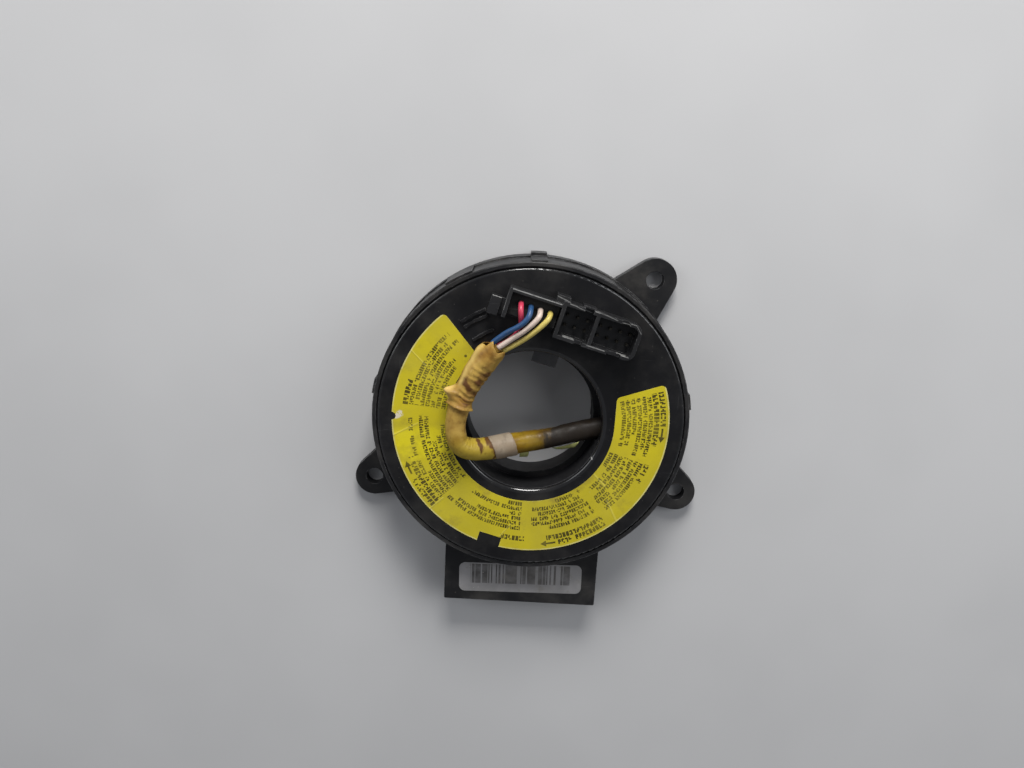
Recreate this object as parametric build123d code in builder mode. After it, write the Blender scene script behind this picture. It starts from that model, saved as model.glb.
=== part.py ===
from build123d import *
import os
from math import atan2, cos, degrees, pi, radians, sin, tan

# Steering clock spring. All sizes are in millimetres.
# The origin is on the steering axis in the rear seating plane. +Z points to the steering wheel.
# +Y points away from the connector box. Angles are clockwise from +Y, seen from the steering wheel.

# ---------------------------------------------------------------- driving dimensions
face_height = 22.0          # rear seat to the rotor's front face
rest_turn = 15.2            # how far the rotor stands clockwise of its neutral place

running_gap = 0.4           # between a rotor face and a stator face
seat_gap = 0.05             # between pieces that are assembled in contact

# stator case: outer wall, front lip, rear flange
case_radius = 51.4
case_wall = 2.6
lip_drop = 0.8              # front lip below the rotor's face
lip_chamfer = 0.25
lip_wall = 1.5              # front lip round the rotor's disc
flange_proud = 0.6          # flange beyond the wall
flange_thickness = 2.7

# stator base: rim, floor, sleeve collar, ribs
base_height = 4.0
floor_thickness = 1.8
rim_width = 6.6
collar_gap = 0.9            # round the sleeve's flange
collar_wall = 2.0
rib_count = 12
rib_width = 1.2
rib_setback = 0.4

# mounting ears
ear_reach = 8.0             # from the flange's edge to an ear's hole
ear_hole_radius = 2.95
ear_root_radius = 11.0
upper_ear_end_radius = 7.2
lower_ear_end_radius = 6.7
upper_ear_angle = 40.4
lower_ear_angle = 117.9     # one to each side

# snap tongues that hold the case on the base: angle and half width in degrees
tongues = [(0.0, 2.8), (-29.0, 5.2), (80.0, 2.8), (-80.0, 2.8)]
tongue_root_proud = 1.0     # the first one's root, beyond the flange
tongue_root_rise = 0.1      # root above the flange
tongue_tip_drop = 0.8       # tongue's tip below the lip
tongue_side_gap = 0.3

# connector box below the case
box_half_width = 26.6
box_height = 12.0
box_wall = 1.6
box_floor = 2.2
box_corner = 0.6
socket_divider = 2.0
socket_depth = 9.5
crossbar_clearance = 0.2    # from the flange to the lead block's crossbar
socket_key_width = 1.2
socket_key_depth = 1.0
terminal_block_length = 5.15
pin_size = 0.8
pin_hole = 1.0
pin_pitch = 4.0
pins_per_socket = 4
pin_reach = 6.5             # pin length that stands in a socket
pin_rise = 2.2              # pins above the box's rear wall

# barcode label on the box
label_width = 43.0
label_height = 10.9
label_inset = 9.2           # label's middle from the box's front
label_tilt = 1.4            # it was stuck on a little crooked
label_corner = 2.2
label_thickness = 0.15

# rotor disc and hub
disc_thickness = 2.0
disc_edge_round = 0.5
rabbet_clearance = 0.6      # under the disc's edge
bore_step = 1.9             # the disc's bore is wider than the sleeve's
bore_round = 1.0
hub_wall = 2.35             # outside the sleeve
tab_left, tab_right = -6.2, 1.8
tab_reach = 4.0
arc_rib_radii = [39.8, 37.9, 33.0]
arc_rib_width = 0.9
arc_rib_height = 0.8
arc_rib_angle = -52.0       # far end of the ribs
arc_rib_gap = 0.35          # from the ribs to the latch block

# rear sleeve, which holds the rotor in the base and drives the cancelling cam
sleeve_bore_radius = 21.3
sleeve_wall = 2.8
sleeve_height = 10.0
sleeve_flange_wall = 4.0
sleeve_flange_thickness = 1.4
drive_slot_width = 7.0
drive_slot_depth = 3.0

# flat cable and what guides it
cable_turns = 8
cable_thickness = 0.3
cable_end_gap = 1.5         # from the cable's edges to the slip sheets
cable_side_gap = 0.1        # from the outer lead block to the cable's first turn
inner_block_depth = 5.85
slip_thickness = 0.25
slip_inset = 0.8
lead_block_half_angle = 13.0
outer_block_half_angle = 9.0
outer_block_depth = 3.6
neck_half_width = 6.5
crossbar_overhang = 0.5     # past the outermost pin's middle
crossbar_length = 2.6
crossbar_height = 3.0

# yellow sheet on the rotor's face
sheet_inner_margin = 4.0    # from the bore's edge
sheet_outer_margin = 4.7    # from the disc's edge
sheet_opening_half_angle = 55.5
sheet_corner = 1.6
sheet_tail_angle = 75.0     # from here to each end the inner edge runs straight
sheet_tail_length = 12.0
sheet_nick_angle = -105.5
sheet_nick_radius = 1.3
sheet_notch_left, sheet_notch_right = -4.0, 3.6
sheet_notch_depth = 3.5

# front connector housing, in the rotor's own frame (x along the housing, y outwards)
housing_left, housing_right = -19.9, 22.9
housing_low, housing_high = 29.8, 41.5
housing_height = 7.0
housing_wall = 1.2
housing_corner = 3.0
housing_floor = 1.2
wire_bay_right = -3.0
wire_bay_low = 31.0
wire_bay_high = 40.5
socket_middle = 8.4
upper_key_slots = [(3.9, 6.7), (15.9, 18.5)]
lower_key_slots = [(3.8, 6.2), (14.4, 18.8)]
key_slot_depth = 2.4
latch_width = 3.3
latch_low, latch_high = 30.4, 36.2
latch_height = 4.6
latch_gap = 1.3
outer_ribs = [(-5.4, -1.2, 1.3), (3.2, 7.4, 0.6)]  # on the outer wall: left, right, how proud
outer_rib_height = 6.0
front_pin_pitch = 3.2
pin_margin = 1.0            # between a socket's wall and its first pin
front_pin_height = 1.8

# wire plug in the wire bay, and its four wires
plug_height = 2.6
plug_gap = 0.25
plug_setback = 1.0          # behind the bay's open side
wire_radius = 0.85
wire_line = 37.0
wire_pitch = 3.17
wire_first = -15.2
wire_entry_gap = 0.1        # between a wire's end and the end of the tape
wire_entry_run = 4.0        # straight run into the tape
wire_rise = 3.2             # straight up out of the plug
wire_bend_reach = 2.5       # then over towards the bore
wire_bend_rise = 5.6

# taped harness
tape_radius = 3.85
band_radius = 4.0
band_from = 11.3            # along the run after the fold
band_length = 7.6
window_gap = 0.25
harness_lift = 0.7          # between the yellow sheet and the harness
harness_dip = 0.1           # at the fold


# ---------------------------------------------------------------- derived sizes
case_inner = case_radius - case_wall
flange_radius = case_radius + flange_proud
lip_height = face_height - lip_drop
rabbet_radius = case_radius - lip_wall
disc_radius = rabbet_radius - running_gap
disc_bottom = face_height - disc_thickness
rabbet_floor = disc_bottom - rabbet_clearance
floor_bottom = base_height - floor_thickness

sleeve_radius = sleeve_bore_radius + sleeve_wall
base_bore = sleeve_radius + running_gap - seat_gap
sleeve_flange_radius = sleeve_radius + sleeve_flange_wall
sleeve_flange_bottom = floor_bottom - running_gap - sleeve_flange_thickness
collar_radius = sleeve_flange_radius + collar_gap
bore_radius = sleeve_bore_radius + bore_step
hub_radius = sleeve_radius + seat_gap + hub_wall
hub_bottom = base_height + running_gap
tab_tip = bore_radius - tab_reach

chamber_bottom = base_height + slip_thickness
chamber_top = disc_bottom - slip_thickness
cable_level = chamber_bottom + cable_end_gap
cable_height = chamber_top - cable_end_gap - cable_level
cable_outer = case_inner - outer_block_depth - cable_side_gap
inner_block_radius = hub_radius + inner_block_depth
cable_inner = inner_block_radius + running_gap + cable_thickness / 2
cable_pitch = (cable_outer - cable_inner) / cable_turns

ear_circle_radius = flange_radius + ear_reach
ear_root_place = flange_radius - rim_width
ears = [
    (upper_ear_angle, upper_ear_end_radius),
    (lower_ear_angle, lower_ear_end_radius),
    (-lower_ear_angle, lower_ear_end_radius),
]
tongue_root_height = base_height + flange_thickness + tongue_root_rise

crossbar_outer = flange_radius + crossbar_clearance + crossbar_length
block_back = crossbar_outer + seat_gap
block_face = block_back + terminal_block_length
box_reach = block_face + socket_depth
box_ceiling = box_height - box_wall
box_inner_half_width = box_half_width - box_wall
pin_level = box_floor + pin_rise
block_level = (box_floor + box_ceiling) / 2
label_place = box_reach - label_inset
socket_place = (box_inner_half_width + socket_divider / 2) / 2
pin_row_half = (pins_per_socket - 1) / 2 * pin_pitch
crossbar_half_width = socket_place + pin_row_half + crossbar_overhang

sheet_inner = bore_radius + sheet_inner_margin
sheet_outer = disc_radius - sheet_outer_margin
bay_floor = face_height + housing_floor
housing_top = face_height + housing_height
latch_right = housing_left - latch_gap
arc_rib_end = degrees(atan2(latch_right - latch_width - arc_rib_gap, latch_low))

rotor_frame = Plane.XY.rotated((0, 0, -rest_turn))


def at_angle(radius, angle):
    """The point at a radius and a clockwise angle from +Y."""
    return (radius * sin(radians(angle)), radius * cos(radians(angle)))


def sector(inner, outer, angle, half_angle):
    """A piece of a ring between two radii, about a clockwise angle from +Y."""
    with BuildSketch(mode=Mode.PRIVATE) as ring_piece:
        with BuildLine():
            first = CenterArc((0, 0), outer, 90 - angle - half_angle, 2 * half_angle)
            second = CenterArc((0, 0), inner, 90 - angle - half_angle, 2 * half_angle)
            Line(first @ 0, second @ 0)
            Line(first @ 1, second @ 1)
        make_face()
    return ring_piece.sketch


def ear_outline(end_radius):
    """One mounting ear pointing along +Y: a round end that widens into the rim."""
    with BuildSketch(mode=Mode.PRIVATE) as outline:
        with Locations((0, ear_circle_radius)):
            Circle(end_radius)
        with Locations((0, ear_root_place)):
            Circle(ear_root_radius)
        make_hull()
    return outline.sketch


def corner_radii(points):
    """The arc at each inner point of a route: as large as its two runs allow."""
    radii = []
    for before, corner, after in zip(points, points[1:], points[2:]):
        arriving = Vector(*corner) - Vector(*before)
        leaving = Vector(*after) - Vector(*corner)
        half_turn = radians(arriving.get_angle(leaving)) / 2
        radii.append(0.45 * min(arriving.length, leaving.length) / tan(half_turn))
    return radii


def tube_along(points, radius, name):
    """A round lead along a route in the rotor's frame, made of straight runs and tangent arcs."""
    radii = corner_radii(points)
    with BuildPart() as tube:
        with BuildLine() as route:
            if radii:
                FilletPolyline(*points, radius=radii)
            else:
                Line(*points)
        path = route.wires()[0]
        with BuildSketch(Plane(origin=path @ 0, z_dir=path % 0)):
            Circle(radius)
        sweep(path=path)
    section = pi * radius**2
    print(name, "radii", [round(r, 1) for r in radii], "length", round(path.length, 1))
    print(name, "volume over section x length", round(tube.part.volume / section / path.length, 4))
    lead = tube.part.rotate(Axis.Z, -rest_turn)
    lead.label = name
    return lead


# ---------------------------------------------------------------- stator base
with BuildPart() as stator_base:
    with BuildSketch():
        Circle(flange_radius)
        for angle, end_radius in ears:
            add(ear_outline(end_radius), rotation=-angle)
    extrude(amount=base_height)
    # the rear wall of the connector box
    with BuildSketch():
        with Locations((0, -box_reach)):
            Rectangle(2 * box_half_width, box_reach - collar_radius, align=(Align.CENTER, Align.MIN))
    extrude(amount=box_floor)
    # rear recess, which leaves the rim and the sleeve's collar standing
    with BuildSketch():
        Circle(flange_radius - rim_width)
        Circle(collar_radius + collar_wall, mode=Mode.SUBTRACT)
    extrude(amount=floor_bottom, mode=Mode.SUBTRACT)
    # ribs across the recess
    with BuildSketch(Plane.XY.offset(rib_setback)):
        with PolarLocations(collar_radius + collar_wall / 2, rib_count):
            Rectangle(flange_radius - rim_width - collar_radius, rib_width, align=(Align.MIN, Align.CENTER))
    extrude(amount=floor_bottom - rib_setback)
    # pocket for the sleeve's flange, and the hole that the sleeve turns in
    with BuildSketch():
        Circle(collar_radius)
    extrude(amount=floor_bottom, mode=Mode.SUBTRACT)
    with BuildSketch():
        Circle(base_bore)
    extrude(amount=base_height, mode=Mode.SUBTRACT)
    # snap tongues up the outside of the case
    with BuildSketch(Plane.XY.offset(base_height)):
        for angle, half_width in tongues:
            add(sector(case_radius + seat_gap, flange_radius, angle, half_width))
    extrude(amount=lip_height - base_height - tongue_tip_drop)
    with BuildSketch():
        angle, half_width = tongues[0]
        add(sector(case_radius + seat_gap, flange_radius + tongue_root_proud, angle, half_width))
    extrude(amount=tongue_root_height)
    with BuildSketch():
        for angle, _ in ears:
            with Locations(at_angle(ear_circle_radius, angle)):
                Circle(ear_hole_radius)
    extrude(amount=base_height, mode=Mode.SUBTRACT)
stator_base.part.label = "stator_base"

# ---------------------------------------------------------------- stator case
with BuildPart() as stator_case:
    # connector box shell, open to the rear (closed by the base) and at its two sockets
    with BuildSketch(Plane.XY.offset(box_floor)):
        with Locations((0, -box_reach)):
            Rectangle(2 * box_half_width, box_reach - case_inner / 2, align=(Align.CENTER, Align.MIN))
    extrude(amount=box_height - box_floor)
    with BuildSketch(Plane.XY.offset(box_floor)):
        with Locations((0, -box_reach)):
            Rectangle(2 * box_inner_half_width, box_reach - case_inner / 2, align=(Align.CENTER, Align.MIN))
    extrude(amount=box_ceiling - box_floor, mode=Mode.SUBTRACT)
    with BuildSketch(Plane.XY.offset(box_floor)):
        with Locations((0, -box_reach)):
            Rectangle(socket_divider, socket_depth - running_gap, align=(Align.CENTER, Align.MIN))
    extrude(amount=box_ceiling - box_floor)
    # a key on the ceiling of each socket
    with BuildSketch(Plane.XY.offset(box_ceiling - socket_key_depth)):
        for side in (-1, 1):
            with Locations((side * socket_place, -box_reach)):
                Rectangle(socket_key_width, socket_depth - running_gap, align=(Align.CENTER, Align.MIN))
    extrude(amount=socket_key_depth)
    # the round wall with its front lip and rear flange
    with BuildSketch(Plane.XZ):
        with BuildLine():
            Polyline(
                (case_inner, base_height),
                (flange_radius, base_height),
                (flange_radius, base_height + flange_thickness),
                (case_radius, base_height + flange_thickness),
                (case_radius, lip_height),
                (rabbet_radius, lip_height),
                (rabbet_radius, rabbet_floor),
                (case_inner, rabbet_floor),
                close=True,
            )
        make_face()
    revolve(axis=Axis.Z)
    # the chamber, and room for the base's rim
    with BuildSketch(Plane.XY.offset(box_floor)):
        Circle(case_inner)
    extrude(amount=face_height, mode=Mode.SUBTRACT)
    with BuildSketch(Plane.XY.offset(box_floor)):
        Circle(flange_radius)
    extrude(amount=base_height - box_floor, mode=Mode.SUBTRACT)
    # notches in the flange for the snap tongues
    with BuildSketch(Plane.XY.offset(base_height)):
        for angle, half_width in tongues:
            add(sector(case_radius, flange_radius + rim_width, angle, half_width + tongue_side_gap))
    extrude(amount=flange_thickness, mode=Mode.SUBTRACT)
    # slot for the neck of the outer lead block
    with BuildSketch(Plane.XY.offset(base_height)):
        with Locations((0, -case_radius)):
            slot_depth = 2 * (case_wall + flange_proud + running_gap)
            Rectangle(2 * neck_half_width + 2 * running_gap, slot_depth)
    extrude(amount=crossbar_height + running_gap, mode=Mode.SUBTRACT)
    lip_edges = stator_case.edges().filter_by(GeomType.CIRCLE).group_by(Axis.Z)[-1]
    chamfer(lip_edges, length=lip_chamfer)
    box_edges = stator_case.edges().filter_by(Axis.Z).group_by(Axis.Y)[0].sort_by(Axis.X)
    fillet([box_edges[0], box_edges[-1]], radius=box_corner)
stator_case.part.label = "stator_case"

# ---------------------------------------------------------------- barcode label
with BuildPart() as barcode_label:
    with BuildSketch(Plane.XY.offset(box_height)):
        with Locations((0, -label_place)):
            RectangleRounded(label_width, label_height, label_corner, rotation=label_tilt)
    extrude(amount=label_thickness)
barcode_label.part.label = "barcode_label"

# ---------------------------------------------------------------- lower slip sheet
with BuildPart() as lower_slip_sheet:
    with BuildSketch(Plane.XY.offset(base_height)):
        Circle(case_inner - slip_inset)
        Circle(hub_radius + slip_inset, mode=Mode.SUBTRACT)
    extrude(amount=slip_thickness)
lower_slip_sheet.part.label = "lower_slip_sheet"

# ---------------------------------------------------------------- outer lead block
with BuildPart() as outer_lead_block:
    # it holds the cable's outer end, and its neck goes out through the wall to a crossbar
    with BuildSketch(Plane.XY.offset(chamber_bottom)):
        add(sector(case_inner - outer_block_depth, case_inner - seat_gap, 180, outer_block_half_angle))
    extrude(amount=cable_height)
    with BuildSketch(Plane.XY.offset(chamber_bottom)):
        with Locations((0, -crossbar_outer)):
            neck_length = crossbar_outer - case_inner + case_wall / 2
            Rectangle(2 * neck_half_width, neck_length, align=(Align.CENTER, Align.MIN))
            Rectangle(2 * crossbar_half_width, crossbar_length, align=(Align.CENTER, Align.MIN))
    extrude(amount=crossbar_height)
outer_lead_block.part.label = "outer_lead_block"

# ---------------------------------------------------------------- stator terminals
pin_places = []
for side in (-1, 1):
    for index in range(pins_per_socket):
        pin_places.append(side * socket_place - pin_row_half + index * pin_pitch)

with BuildPart() as stator_terminal_block:
    with BuildSketch(Plane.XZ.offset(block_back)):
        with Locations((0, block_level)):
            Rectangle(2 * (box_inner_half_width - plug_gap), box_ceiling - box_floor - 2 * seat_gap)
        for place in pin_places:
            with Locations((place, pin_level)):
                Rectangle(pin_hole, pin_hole, mode=Mode.SUBTRACT)
    extrude(amount=terminal_block_length)
stator_terminal_block.part.label = "stator_terminal_block"

with BuildPart() as stator_terminal_pins:
    with BuildSketch(Plane.XZ.offset(crossbar_outer + seat_gap)):
        for place in pin_places:
            with Locations((place, pin_level)):
                Rectangle(pin_size, pin_size)
    extrude(amount=terminal_block_length + pin_reach)
stator_terminal_pins.part.label = "stator_terminal_pins"

# ---------------------------------------------------------------- flat cable
half_pitch = cable_pitch / 2

with BuildPart() as flat_cable:
    with BuildSketch(Plane.XY.offset(cable_level)):
        with BuildLine():
            ends = []
            for side in (-cable_thickness / 2, cable_thickness / 2):
                # a quarter turn from the outer lead block, then whole turns of two half circles
                start = CenterArc((-half_pitch, 0), cable_outer - half_pitch + side, 270, 90)
                for turn in range(1, cable_turns + 1):
                    reach = cable_outer - turn * cable_pitch
                    if turn < cable_turns:
                        CenterArc((0, 0), reach + side, 0, 180)
                        last = CenterArc((-half_pitch, 0), reach - half_pitch + side, 180, 180)
                ends.append((start @ 0, last @ 1))
            Line(ends[0][0], ends[1][0])
            Line(ends[0][1], ends[1][1])
        make_face()
    extrude(amount=cable_height)
flat_cable.part.label = "flat_cable"

# ---------------------------------------------------------------- harness route
# points in the rotor's own frame, from the wire bay along the disc's inner edge and across the bore
harness_level = face_height + label_thickness + tape_radius + harness_lift
harness_points = [
    (-18.2, 21.3, harness_level),
    (-22.4, 10.3, harness_level),
    (-23.9, -1.4, harness_level),
    (-21.2, -13.7, harness_level - harness_dip),
    (0.6, -9.6, 19.4),
    (8.8, -5.3, 16.9),
    (16.2, 0.0, 15.2),
    (24.7, 4.4, 14.5),
]
fold = Vector(*harness_points[3])
band_direction = (Vector(*harness_points[4]) - fold).normalized()
band_start = fold + band_direction * band_from
band_end = fold + band_direction * (band_from + band_length)
window_start = Vector(*harness_points[-2])
window_end = Vector(*harness_points[-1])
window_angle = degrees(atan2(window_end.X, window_end.Y))

# ---------------------------------------------------------------- rotor disc with hub
with BuildPart() as rotor_disc:
    with BuildSketch(Plane.XZ):
        with BuildLine():
            Polyline(
                (bore_radius, sleeve_height + seat_gap),
                (sleeve_radius + seat_gap, sleeve_height + seat_gap),
                (sleeve_radius + seat_gap, hub_bottom),
                (hub_radius, hub_bottom),
                (hub_radius, disc_bottom),
                (disc_radius, disc_bottom),
                (disc_radius, face_height),
                (bore_radius, face_height),
                close=True,
            )
        make_face()
    revolve(axis=Axis.Z)
    front_edges = rotor_disc.edges().filter_by(GeomType.CIRCLE).group_by(Axis.Z)[-1].sort_by(SortBy.RADIUS)
    fillet(front_edges[0], radius=bore_round)
    fillet(front_edges[-1], radius=disc_edge_round)
    # guide tab that stands into the bore
    with BuildSketch(rotor_frame.offset(disc_bottom)):
        with Locations(((tab_left + tab_right) / 2, tab_tip)):
            Rectangle(tab_right - tab_left, hub_radius - tab_tip - bore_round, align=(Align.CENTER, Align.MIN))
    extrude(amount=disc_thickness - bore_round)
    # curved ribs beside the wire bay
    with BuildSketch(rotor_frame.offset(face_height)):
        for radius in arc_rib_radii:
            middle = (arc_rib_angle + arc_rib_end) / 2
            add(sector(radius - arc_rib_width, radius, middle, (arc_rib_end - arc_rib_angle) / 2))
    extrude(amount=arc_rib_height)
    # window in the hub for the harness
    window_plane = Plane(
        origin=rotor_frame.from_local_coords(window_start),
        z_dir=(window_end - window_start).rotate(Axis.Z, -rest_turn),
    )
    with BuildSketch(window_plane):
        Circle(tape_radius + window_gap)
    extrude(amount=hub_radius - tape_radius, mode=Mode.SUBTRACT)
rotor_disc.part.label = "rotor_disc"

# ---------------------------------------------------------------- rear sleeve
with BuildPart() as rotor_sleeve:
    with BuildSketch(Plane.XZ):
        with BuildLine():
            Polyline(
                (sleeve_bore_radius, 0),
                (sleeve_radius, 0),
                (sleeve_radius, sleeve_flange_bottom),
                (sleeve_flange_radius, sleeve_flange_bottom),
                (sleeve_flange_radius, sleeve_flange_bottom + sleeve_flange_thickness),
                (sleeve_radius, sleeve_flange_bottom + sleeve_flange_thickness),
                (sleeve_radius, sleeve_height),
                (sleeve_bore_radius, sleeve_height),
                close=True,
            )
        make_face()
    revolve(axis=Axis.Z)
    # two slots in the rear end drive the cancelling cam
    with BuildSketch(rotor_frame):
        Rectangle(4 * sleeve_radius, drive_slot_width)
    extrude(amount=drive_slot_depth, mode=Mode.SUBTRACT)
rotor_sleeve.part.label = "rotor_sleeve"

# ---------------------------------------------------------------- upper slip sheet
with BuildPart() as upper_slip_sheet:
    with BuildSketch(Plane.XY.offset(chamber_top)):
        Circle(case_inner - slip_inset)
        Circle(hub_radius + slip_inset, mode=Mode.SUBTRACT)
    extrude(amount=slip_thickness)
upper_slip_sheet.part.label = "upper_slip_sheet"

# ---------------------------------------------------------------- inner lead block
with BuildPart() as inner_lead_block:
    # it stands on the hub behind the window, where the cable's inner end meets the harness
    with BuildSketch(rotor_frame.offset(cable_level)):
        add(sector(hub_radius + seat_gap, inner_block_radius, window_angle, lead_block_half_angle))
    extrude(amount=cable_height)
inner_lead_block.part.label = "inner_lead_block"

# ---------------------------------------------------------------- front connector housing
with BuildPart() as front_connector_housing:
    with BuildSketch(rotor_frame.offset(face_height)) as housing_outline:
        with Locations((wire_bay_right, housing_low)):
            sockets_width = housing_right - wire_bay_right
            Rectangle(sockets_width, housing_high - housing_low, align=(Align.MIN, Align.MIN))
        fillet(housing_outline.vertices().group_by(Axis.X)[-1], radius=housing_corner)
        with Locations((housing_left, wire_bay_low)):
            bay_width = wire_bay_right - housing_left
            Rectangle(bay_width, wire_bay_high - wire_bay_low, align=(Align.MIN, Align.MIN))
    extrude(amount=housing_height)
    # short ribs on the outer wall
    with BuildSketch(rotor_frame.offset(face_height)):
        for left, right, proud in outer_ribs:
            with Locations((left, wire_bay_high - housing_wall / 2)):
                rib_depth = housing_high + proud - wire_bay_high + housing_wall / 2
                Rectangle(right - left, rib_depth, align=(Align.MIN, Align.MIN))
    extrude(amount=outer_rib_height)
    # the wire bay, open towards the bore
    bay_left = housing_left + housing_wall
    bay_right = wire_bay_right
    bay_top = wire_bay_high - housing_wall
    with BuildSketch(rotor_frame.offset(bay_floor)):
        with Locations((bay_left, wire_bay_low)):
            Rectangle(bay_right - bay_left, bay_top - wire_bay_low, align=(Align.MIN, Align.MIN))
    extrude(amount=housing_height, mode=Mode.SUBTRACT)
    # two sockets side by side
    socket_walls = [
        (wire_bay_right + housing_wall, socket_middle - housing_wall / 2),
        (socket_middle + housing_wall / 2, housing_right - housing_wall),
    ]
    socket_low = housing_low + housing_wall
    socket_high = housing_high - housing_wall
    with BuildSketch(rotor_frame.offset(bay_floor)) as socket_outline:
        for left, right in socket_walls:
            with Locations((left, socket_low)):
                Rectangle(right - left, socket_high - socket_low, align=(Align.MIN, Align.MIN))
        fillet(socket_outline.vertices().group_by(Axis.X)[-1], radius=housing_corner - housing_wall)
    extrude(amount=housing_height, mode=Mode.SUBTRACT)
    # key slots in the long walls
    with BuildSketch(rotor_frame.offset(housing_top - key_slot_depth)):
        for left, right in upper_key_slots:
            with Locations((left, socket_high)):
                Rectangle(right - left, housing_wall, align=(Align.MIN, Align.MIN))
        for left, right in lower_key_slots:
            with Locations((left, housing_low)):
                Rectangle(right - left, housing_wall, align=(Align.MIN, Align.MIN))
    extrude(amount=key_slot_depth, mode=Mode.SUBTRACT)
    # latch block at the left end, joined to the bay's wall by a low web
    with BuildSketch(rotor_frame.offset(face_height)):
        with Locations((latch_right, latch_low)):
            Rectangle(latch_width, latch_high - latch_low, align=(Align.MAX, Align.MIN))
    extrude(amount=latch_height)
    with BuildSketch(rotor_frame.offset(face_height)):
        with Locations((latch_right, (latch_low + latch_high) / 2)):
            Rectangle(latch_gap, latch_high - wire_bay_low, align=(Align.MIN, Align.CENTER))
    extrude(amount=housing_floor)
front_connector_housing.part.label = "front_connector_housing"

# ---------------------------------------------------------------- front terminal pins
with BuildPart() as front_terminal_pins:
    with BuildSketch(rotor_frame.offset(bay_floor)):
        for left, right in socket_walls:
            count = int((right - left - 2 * pin_margin) / front_pin_pitch) + 1
            with Locations(((left + right) / 2, (socket_low + socket_high) / 2)):
                with GridLocations(front_pin_pitch, front_pin_pitch, count, 2):
                    Rectangle(pin_size, pin_size)
    extrude(amount=front_pin_height)
front_terminal_pins.part.label = "front_terminal_pins"

# ---------------------------------------------------------------- wire plug
plug_top = bay_floor + plug_height
with BuildPart() as wire_plug:
    with BuildSketch(rotor_frame.offset(bay_floor)):
        with Locations(((bay_left + bay_right) / 2, wire_bay_low + plug_setback)):
            Rectangle(
                bay_right - bay_left - 2 * plug_gap,
                bay_top - wire_bay_low - plug_setback - plug_gap,
                align=(Align.CENTER, Align.MIN),
            )
    extrude(amount=plug_height)
wire_plug.part.label = "wire_plug"

# ---------------------------------------------------------------- yellow sheet
with BuildPart() as yellow_sheet:
    with BuildSketch(rotor_frame.offset(face_height)) as sheet_outline:
        add(sector(sheet_inner, sheet_outer, 180, 180 - sheet_opening_half_angle))
        with Locations((sheet_notch_left, sheet_notch_depth - sheet_outer)):
            Rectangle(
                sheet_notch_right - sheet_notch_left,
                sheet_outer,
                align=(Align.MIN, Align.MAX),
                mode=Mode.SUBTRACT,
            )
        # the inner edge leaves the circle along its tangent near each end
        with Locations(Location((0, 0, 0), (0, 0, -sheet_tail_angle))):
            Rectangle(sheet_tail_length, sheet_inner, align=(Align.MAX, Align.MIN), mode=Mode.SUBTRACT)
        with Locations(Location((0, 0, 0), (0, 0, sheet_tail_angle))):
            Rectangle(sheet_tail_length, sheet_inner, align=(Align.MIN, Align.MIN), mode=Mode.SUBTRACT)
        end_corners = sheet_outline.vertices().group_by(Axis.Y)[-2:]
        fillet([corner for group in end_corners for corner in group], radius=sheet_corner)
        # a torn nick in the outer edge
        with Locations(at_angle(sheet_outer, sheet_nick_angle)):
            Circle(sheet_nick_radius, mode=Mode.SUBTRACT)
    extrude(amount=label_thickness)
yellow_sheet.part.label = "yellow_sheet"

# ---------------------------------------------------------------- taped harness
yellow_tape_wrap = tube_along([*harness_points[:4], band_start], tape_radius, "yellow_tape_wrap")
white_tape_band = tube_along([band_start, band_end], band_radius, "white_tape_band")
amber_tape_wrap = tube_along([band_end, *harness_points[4:]], tape_radius, "amber_tape_wrap")

# ---------------------------------------------------------------- wires
# each wire rises out of the plug, bends over towards the bore and goes into the end of the tape
harness_start = Vector(*harness_points[0])
start_direction = (Vector(*harness_points[1]) - harness_start).normalized()
across = Vector(-start_direction.Y, start_direction.X, 0)
# name: place in the plug, middle point, place in the tape's end (across, up)
wire_routes = {
    "wire_pink": (0, (-13.4, 29.4, 27.2), (0.4, -1.1)),
    "wire_blue": (1, (-14.6, 30.4, 31.2), (-1.8, 0.8)),
    "wire_white": (2, (-12.6, 29.8, 30.8), (0.5, 1.6)),
    "wire_yellow": (3, (-9.0, 29.4, 30.6), (2.4, 0.3)),
}
wires = []
for name, (place, middle_point, (sideways, upwards)) in wire_routes.items():
    along = wire_first + place * wire_pitch
    entry = harness_start + across * sideways + Vector(0, 0, upwards) - start_direction * wire_entry_gap
    points = [
        (along, wire_line, plug_top),
        (along, wire_line, plug_top + wire_rise),
        (along, wire_line - wire_bend_reach, plug_top + wire_bend_rise),
        middle_point,
        entry - start_direction * wire_entry_run,
        entry,
    ]
    wires.append(tube_along(points, wire_radius, name))

# ---------------------------------------------------------------- files
pieces = [
    stator_base.part,
    stator_case.part,
    barcode_label.part,
    lower_slip_sheet.part,
    outer_lead_block.part,
    stator_terminal_block.part,
    stator_terminal_pins.part,
    flat_cable.part,
    rotor_disc.part,
    rotor_sleeve.part,
    upper_slip_sheet.part,
    inner_lead_block.part,
    front_connector_housing.part,
    front_terminal_pins.part,
    wire_plug.part,
    yellow_sheet.part,
    yellow_tape_wrap,
    white_tape_band,
    amber_tape_wrap,
    *wires,
]
os.makedirs("parts", exist_ok=True)
for piece in pieces:
    export_step(piece, f"parts/{piece.label}.step")
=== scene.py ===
"""Finishes, print, tape and wires of a steering clock spring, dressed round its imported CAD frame.

The part lies on its rear face. Its origin is on the steering axis in that face, +Z points to the
steering wheel and +Y away from the connector box. Lengths are in metres, and mm turns millimetres
into metres. The rotor's own frame is turned clockwise by rest_turn, and angles on the yellow sheet
run clockwise from the rotor's +Y.
"""
from math import atan2, cos, degrees, exp, pi, radians, sin

import bmesh
import bpy
from mathutils import Matrix, Vector, noise


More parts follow.
